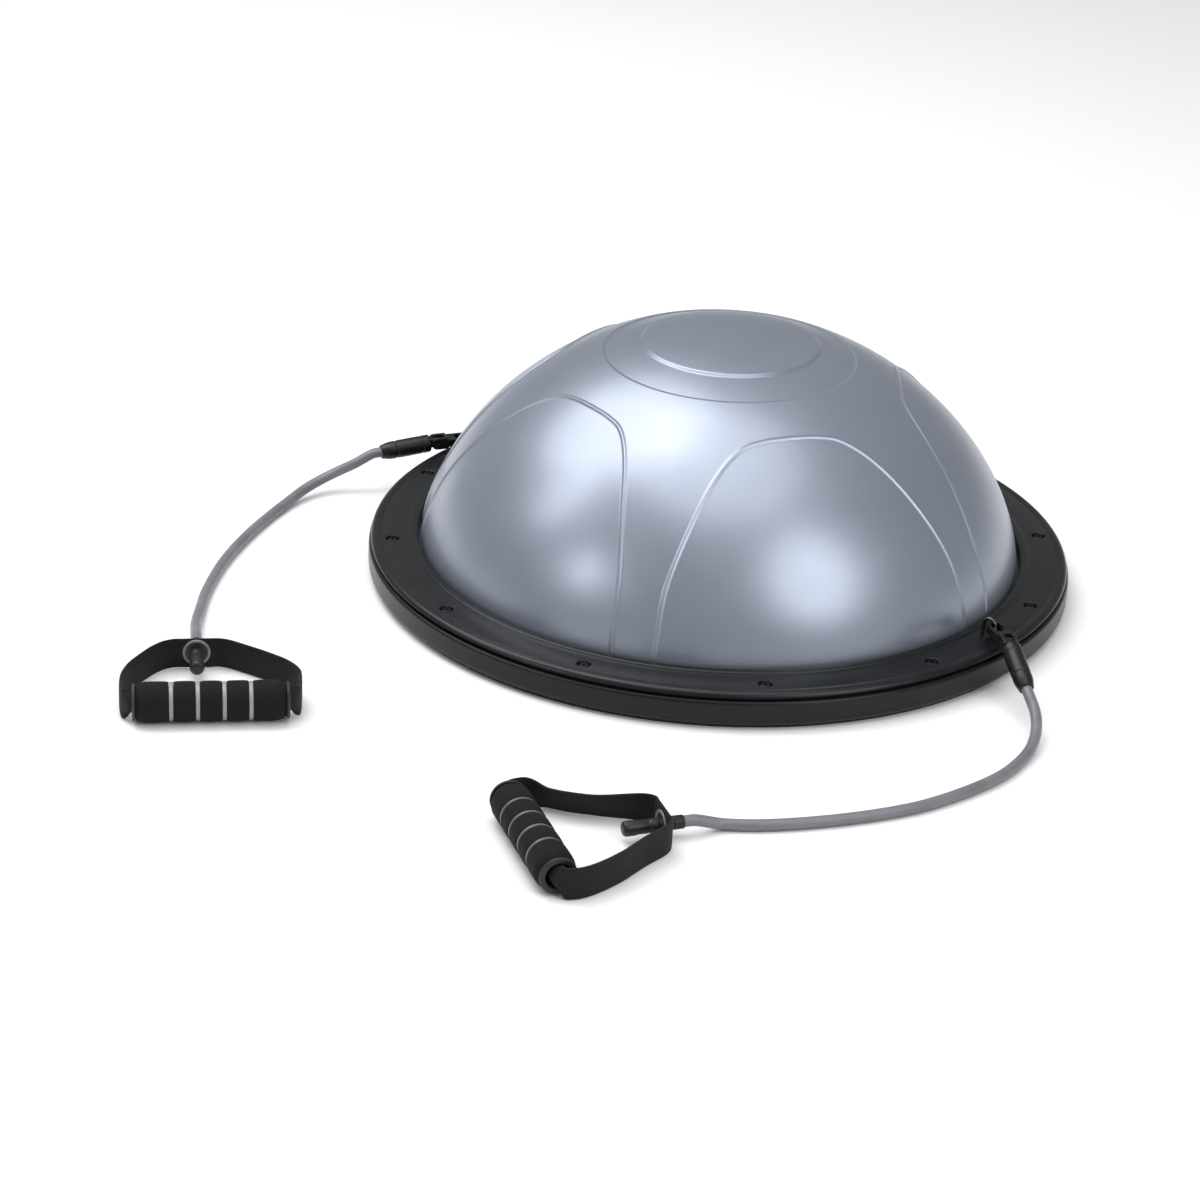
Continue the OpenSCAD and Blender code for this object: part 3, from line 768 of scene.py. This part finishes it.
def sleeve_tongue(side):
    """The tongue between the hook's ears, with its round end on the cross pin."""
    outline = [(SLEEVE_START + 2, -TONGUE_R), (SLEEVE_START + 2, TONGUE_R), (0, TONGUE_R)]
    outline += arc(0, 0, TONGUE_R, 90, 270, 16)[1:]
    # the sleeve frame's x is the lie of the cross pin, its z runs along the band
    verts = [
        SLEEVE[side] @ (Vector((w, h, z)) * MM)
        for w in (-TONGUE_HALF, TONGUE_HALF) for z, h in outline
    ]
    n = len(outline)
    faces = [tuple(range(n)), tuple(range(2 * n - 1, n - 1, -1))]
    faces += [(i, (i + 1) % n, n + (i + 1) % n, n + i) for i in range(n)]
    tongue = make_object(f"sleeve_tongue_{side}", verts, faces)
    recalc(tongue)
    sharpen(tongue, SLEEVE_ANGLE)
    bevel = tongue.modifiers.new("bevel", "BEVEL")
    bevel.width = 0.4 * MM
    bevel.segments = 2
    bevel.limit_method = "ANGLE"
    return tongue


for side in SIDES:
    sleeve = turned(f"band_sleeve_{side}", [(sleeve_profile, 0)], 56, SLEEVE[side], SLEEVE_ANGLE)
    finish_piece(sleeve, f"band_{side}", "sleeve", "sleeve", f"sleeve_{side}")
    finish_piece(sleeve_tongue(side), f"band_{side}", "sleeve", "sleeve")

# ---------------------------------------------------------------- collar, stopper, grommet
STRAP_T, STRAP_W, FLANGE = 2.4, 25.0, 1.3
half = STRAP_T / 2
face = half + FLANGE + 0.4  # where collar and stopper begin, from the strap's middle
TUBE_HOLE = 4.58
tube_stop = STOPPER_WALL - STOPPER_LEN - 0.2  # the floor of the stopper's bore
collar_profile = (
    [(TUBE_HOLE, face), (5.0, face)]
    + arc(4.9, face + 0.5, 0.5, -60, 0, 3)
    + [(5.4, face + 3.5), (5.15, face + 3.9), (5.15, face + 4.6), (5.4, face + 5), (5.3, face + 11)]
    + arc(4.7, face + 12.4, 0.6, 0, 90, 4)
    + [(TUBE_HOLE, face + 13)]
)
stopper_profile = (
    [(0.02, tube_stop), (TUBE_HOLE, tube_stop), (TUBE_HOLE, -face)]
    + [(5.2, -face), (5.45, -face - 0.5), (5.35, -face - 8), (5.2, -face - 8.4)]
    + [(5.2, -face - 9.2)]
    + [(5.4, -face - 9.6), (5.45, -face - 17), (5.9, -face - 20)]
    + arc(2.9, 3 - STOPPER_LEN, 3, 0, -90, 10)
    + [(0.02, -STOPPER_LEN)]
)
# the grommet: a pale rim on both faces of the strap, and a dark lining through its hole
rim_inner = (
    arc(10.3, -half - 0.3, 0.95, -90, 10, 6)
    + [(11.0, -half), (8.8, -half)]
    + arc(9.6, -half - 0.3, 0.9, 190, 270, 6)
)
rim_outer = (
    [(7.2, half), (9.4, half)]
    + arc(8.6, half + 0.3, 0.95, -10, 90, 6)
    + arc(8.0, half + 0.3, 0.95, 90, 170, 6)
)
lining_profile = [
    (4.95, -half - 0.75), (5.2, -half - 0.95), (8.5, -half - 0.65), (8.75, -half), (5.75, -half),
    (5.75, half), (7.15, half), (7.0, half + 0.7), (5.2, half + 0.95), (4.95, half + 0.75),
]
for side in SIDES:
    end_body, strap_body = f"band_end_{side}", f"handle_{side}"
    for name, profiles, sides, body, mat, slot, nodes in (
        ("tube_collar", [collar_profile], 48, end_body, "collar", "stopper", ["collar"]),
        ("tube_stopper", [stopper_profile], 48, end_body, "stopper", "stopper", ["stopper"]),
        (
            "strap_grommet", [rim_inner, rim_outer], 56, strap_body, "grommet", "grommet",
            ["grommet"],
        ),
        ("grommet_lining", [lining_profile], 56, strap_body, "washer", "grommet", []),
    ):
        piece = turned(f"{name}_{side}", [(p, 0) for p in profiles], sides, PULL[side])
        finish_piece(piece, body, mat, slot, *[f"{node}_{side}" for node in nodes])

# ---------------------------------------------------------------- grips
FOAM_R, FOAM_END, FOAM_MID, RING_LEN, CORE_R = 16.0, 26.0, 17.2, 3.4, 12.0
FOAM_LEN = 2 * FOAM_END + 3 * FOAM_MID + 4 * RING_LEN
CAP_T, GRIP_SIDES, CAP_SIDES = 2.5, 72, 64
CUT_BACK_END, CUT_BACK = 3.4, 0.5  # of the foam's edges at the grip's ends, and between pieces


def foam_profile(length, low, high):
    """A foam piece: slightly barrelled, its two edges cut back by low and high mm."""
    # a cut-back end tapers over a longer way than it is deep
    start, stop = 1.7 * low, length - 1.7 * high
    out = [(CORE_R + 0.05, 0.15), (FOAM_R - low - 0.6, 0.15)]
    out += arc(FOAM_R - low - 0.4, 0.75, 0.6, -90, -45, 3)
    out += [(FOAM_R - 0.5, start + 0.1), (FOAM_R - 0.15, start + 1.4)]
    for k in range(1, 8):
        u = k / 8
        r = FOAM_R - 0.15 + 0.15 * math.sin(math.pi * u)
        out.append((r, start + 1.4 + (stop - start - 2.8) * u))
    out += [(FOAM_R - 0.15, stop - 1.4), (FOAM_R - 0.5, stop - 0.1)]
    out += arc(FOAM_R - high - 0.4, length - 0.75, 0.6, 45, 90, 3)
    out += [(FOAM_R - high - 0.6, length - 0.15), (CORE_R + 0.05, length - 0.15)]
    return out


ring_half = RING_LEN / 2
spacer_profile = (
    [(CORE_R + 0.05, 0), (FOAM_R - 1.2, 0)]
    + arc(FOAM_R - 1.4, 0.6, 0.6, -60, 0, 4)
    + [(FOAM_R - 0.75, ring_half)]
    + arc(FOAM_R - 1.4, RING_LEN - 0.6, 0.6, 0, 60, 4)
    + [(FOAM_R - 1.2, RING_LEN), (CORE_R + 0.05, RING_LEN)]
)
cap_profile = (
    [(9.8, -5.5), (10.2, -5.5), (10.2, 0), (13.6, 0)]
    + arc(13.6, 0.9, 0.9, -90, 0, 4)
    + arc(13.3, CAP_T - 1.2, 1.2, 0, 90, 6)
    + [(10.9, CAP_T)]
    + arc(10.9, CAP_T - 1.1, 1.1, 100, 180, 5)
)


def grip_layout():
    """The foam pieces and the light rings between them, as (profile, z) along the grip."""
    pieces, spacers = [], []
    z = -FOAM_LEN / 2
    for i in range(5):
        span = FOAM_END if i in (0, 4) else FOAM_MID
        low, high = (CUT_BACK_END if i == end else CUT_BACK for end in (0, 4))
        pieces.append((foam_profile(span, low, high), z))
        z += span
        if i < 4:
            spacers.append((spacer_profile, z))
            z += RING_LEN
    return pieces, spacers


foam_pieces, ring_spacers = grip_layout()
for side in SIDES:
    body = f"grip_{side}"
    foam = turned(f"foam_grip_{side}", foam_pieces, GRIP_SIDES, GRIP[side], 40)
    finish_piece(foam, body, "foam", "foam", f"grip_foam_{side}")
    spacers = turned(f"foam_spacers_{side}", ring_spacers, GRIP_SIDES, GRIP[side])
    # the right grip's rings get a darker copy of the same grey, painted shade on the same part; the
    # left grip's keep the plain grey
    ring_mat = "ring" if side == "left" else "ring_painted_shade"
    finish_piece(spacers, body, ring_mat, "ring", f"grip_rings_{side}")
    verts, faces = [], []
    for turn in (Matrix.Identity(4), Matrix.Rotation(math.pi, 4, "Y")):
        v, f = lathe([(r, q + FOAM_LEN / 2) for r, q in cap_profile], CAP_SIDES, True, len(verts))
        verts += [GRIP[side] @ turn @ p for p in v]
        faces += f
    caps = make_object(f"grip_end_caps_{side}", verts, faces)
    recalc(caps)
    sharpen(caps)
    finish_piece(caps, body, "cap", "ring", f"grip_caps_{side}")

# ---------------------------------------------------------------- straps
# the webbing's middle line outside the grip, as (mm along the grip, mm towards the band)
STRAP_LINE = {
    "left": [
        (69.5, 9), (70, 16), (70, 32), (62, 48), (47, 63), (27, 79), (15, 87.5), (7.5, 90),
        (1.7, 90), (-10, 90), (-21.7, 90), (-27.5, 90), (-36, 86.5), (-44.5, 78.5), (-54, 65),
        (-64, 47), (-69, 30), (-70, 16), (-69.5, 9),
    ],
    "right": [
        (69.5, 9), (69.5, 16), (65, 30), (54, 51), (38, 74), (25, 95), (17.5, 101), (11.7, 101),
        (0, 101), (-11.7, 101), (-17.5, 101), (-25, 94.5), (-38, 64), (-51, 41), (-65, 24),
        (-69.5, 15), (-69.5, 9),
    ],
}
# and inside it
TUCK_IN = [
    (-68.2, 3.6), (-65, 0.8), (-60, 0), (-40, 0), (0, 0), (40, 0), (60, 0), (65, 0.8), (68.2, 3.6)
]
STRAP_Z, GRIP_Z = 13.5, 16.0
STRAP_STEP, ACROSS_STEPS = 1.5, 14
UNDERSIDE_UV = 0.7  # mm, keeps the weave on the back from mirroring the front
EYELET_R = 5.7
# the right handle's far arm leans, its lower edge outwards
ARM_LEAN = {"left": 0.0, "right": math.radians(27)}


def strap_loop(side):
    """Evenly spaced points once round the webbing's loop, starting inside the grip."""
    flat = TUCK_IN[3:] + STRAP_LINE[side] + TUCK_IN[:3]
    steps = 10
    # three points past the start make the spline run on smoothly where the loop closes
    dense = spline([Vector((*p, 0)) for p in flat + flat[:3]], steps)
    loop = dense[steps : steps + steps * len(flat)]
    return resample(loop + [loop[0]], STRAP_STEP)[:-1]


def strap_section():
    """Points round the webbing's cross section, as (-1 to 1 across it, outer or inner face)."""
    row = [-1 + 2 * i / ACROSS_STEPS for i in range(ACROSS_STEPS + 1)]
    return [(w, 1) for w in row] + [(w, -1) for w in reversed(row)]


def ribbon(name, side):
    """The webbing: one closed loop, flat outside the grip and cupped where it runs through."""
    loop, section = strap_loop(side), strap_section()
    # the grip's own axes: s along the grip, y towards the band, up
    s_axis = Vector(JOINTS[f"{side}_grip_roll"]["axis"])
    y_axis = Vector((-s_axis.y, s_axis.x, 0))
    origin = Vector(JOINTS[f"{side}_grip_roll"]["pos_m"])
    origin.z = 0
    verts, uvs = [], []
    walked = 0.0
    for i, p in enumerate(loop):
        if i:
            walked += (p - loop[i - 1]).length
        tangent = (loop[(i + 1) % len(loop)] - loop[i - 1]).normalized()
        normal = Vector((-tangent.y, tangent.x, 0))
        tucked = 1 - smoothstep(61.0, 68.4, abs(p.x)) if p.y < 12 else 0.0
        cup = 1.5 * tucked / (STRAP_W / 2)
        tilt = ARM_LEAN[side] * smoothstep(16, 42, -p.x) * smoothstep(14, 34, p.y)
        middle = STRAP_Z + (GRIP_Z - STRAP_Z) * tucked - STRAP_W / 2 * (1 - math.cos(tilt))
        for w, face_side in section:
            # the webbing thins towards its two edges
            thick = (STRAP_T / 2) * (1 - 0.35 * abs(w) ** 6)
            across = w * STRAP_W / 2
            if cup > 1e-4:
                rise = math.sin(cup * across) / cup
                bulge = (1 - math.cos(cup * across)) / cup - 5.0 * tucked
                lean = math.sin(cup * across)
            else:
                rise, bulge, lean = across, 0.0, 0.0
            level_up = math.cos(math.asin(max(-1, min(1, lean))))
            out = bulge + face_side * thick * level_up
            high = rise - face_side * thick * lean
            tilted = out * math.cos(tilt) + high * math.sin(tilt)
            high = high * math.cos(tilt) - out * math.sin(tilt)
            q = p + normal * tilted
            up = Vector((0, 0, middle + high))
            verts.append(origin + (s_axis * q.x + y_axis * q.y + up) * MM)
            uvs.append((walked * MM, (across + (0 if face_side > 0 else UNDERSIDE_UV)) * MM))
    obj = make_object(name, verts, skin(len(loop), len(section), closed=True), uvs=uvs)
    recalc(obj)
    return obj


for side in SIDES:
    strap = ribbon(f"webbing_loop_{side}", side)
    sharpen(strap, 50)
    verts, faces = lathe([(EYELET_R, -6), (EYELET_R, 6)], 48)
    cut_away(strap, make_object("punch", [PULL[side] @ v for v in verts], faces))
    finish_piece(strap, f"handle_{side}", "webbing", "webbing", f"strap_{side}")

# ---------------------------------------------------------------- floor and light
floor_mat = Nodes("pale_floor")
floor_mat.color(floor_mat.mix(floor_mat.noise(3, 3), (0.86, 0.86, 0.86), (0.885, 0.885, 0.885)))
floor_mat.set(Roughness=0.75, Specular_IOR_Level=0.2)
FLOOR_HALF = 15  # metres
corners = [(x * FLOOR_HALF, y * FLOOR_HALF, 0) for x, y in ((-1, -1), (1, -1), (1, 1), (-1, 1))]
floor = make_object("floor", corners, [(0, 1, 2, 3)])
floor.data.materials.append(floor_mat.mat)


LIGHT_AIM = Vector((0, 0, 0.1))


def soft_light(name, azimuth, elevation, distance, width, height, watts):
    """An oval light that faces the dome, placed by degrees and metres from it."""
    data = bpy.data.lights.new(name, "AREA")
    data.shape = "ELLIPSE"
    data.size = width
    data.size_y = height
    data.energy = watts
    a, e = math.radians(azimuth), math.radians(elevation)
    toward = Vector((math.cos(a) * math.cos(e), math.sin(a) * math.cos(e), math.sin(e)))
    obj = bpy.data.objects.new(name, data)
    obj.matrix_world = (-toward).to_track_quat("-Z", "Y").to_matrix().to_4x4()
    obj.matrix_world.translation = LIGHT_AIM + distance * toward
    bpy.context.scene.collection.objects.link(obj)


soft_light("over_left", -173, 58, 2.6, 2.0, 2.3, 46)
soft_light("front_left", -138, 38, 2.2, 0.5, 0.9, 5)
soft_light("front_low", -106, 24, 2.2, 0.5, 0.5, 4.5)
soft_light("right_low", -13, 31, 2.2, 1.25, 1.55, 18)
soft_light("overhead", -60, 84, 4.6, 4.2, 4.2, 108)

world = bpy.data.worlds.new("studio")
world.use_nodes = True
world.node_tree.nodes["Background"].inputs["Color"].default_value = (0.96, 0.98, 1.0, 1)
world.node_tree.nodes["Background"].inputs["Strength"].default_value = 0.32
bpy.context.scene.world = world
bpy.context.scene.view_settings.view_transform = "Standard"
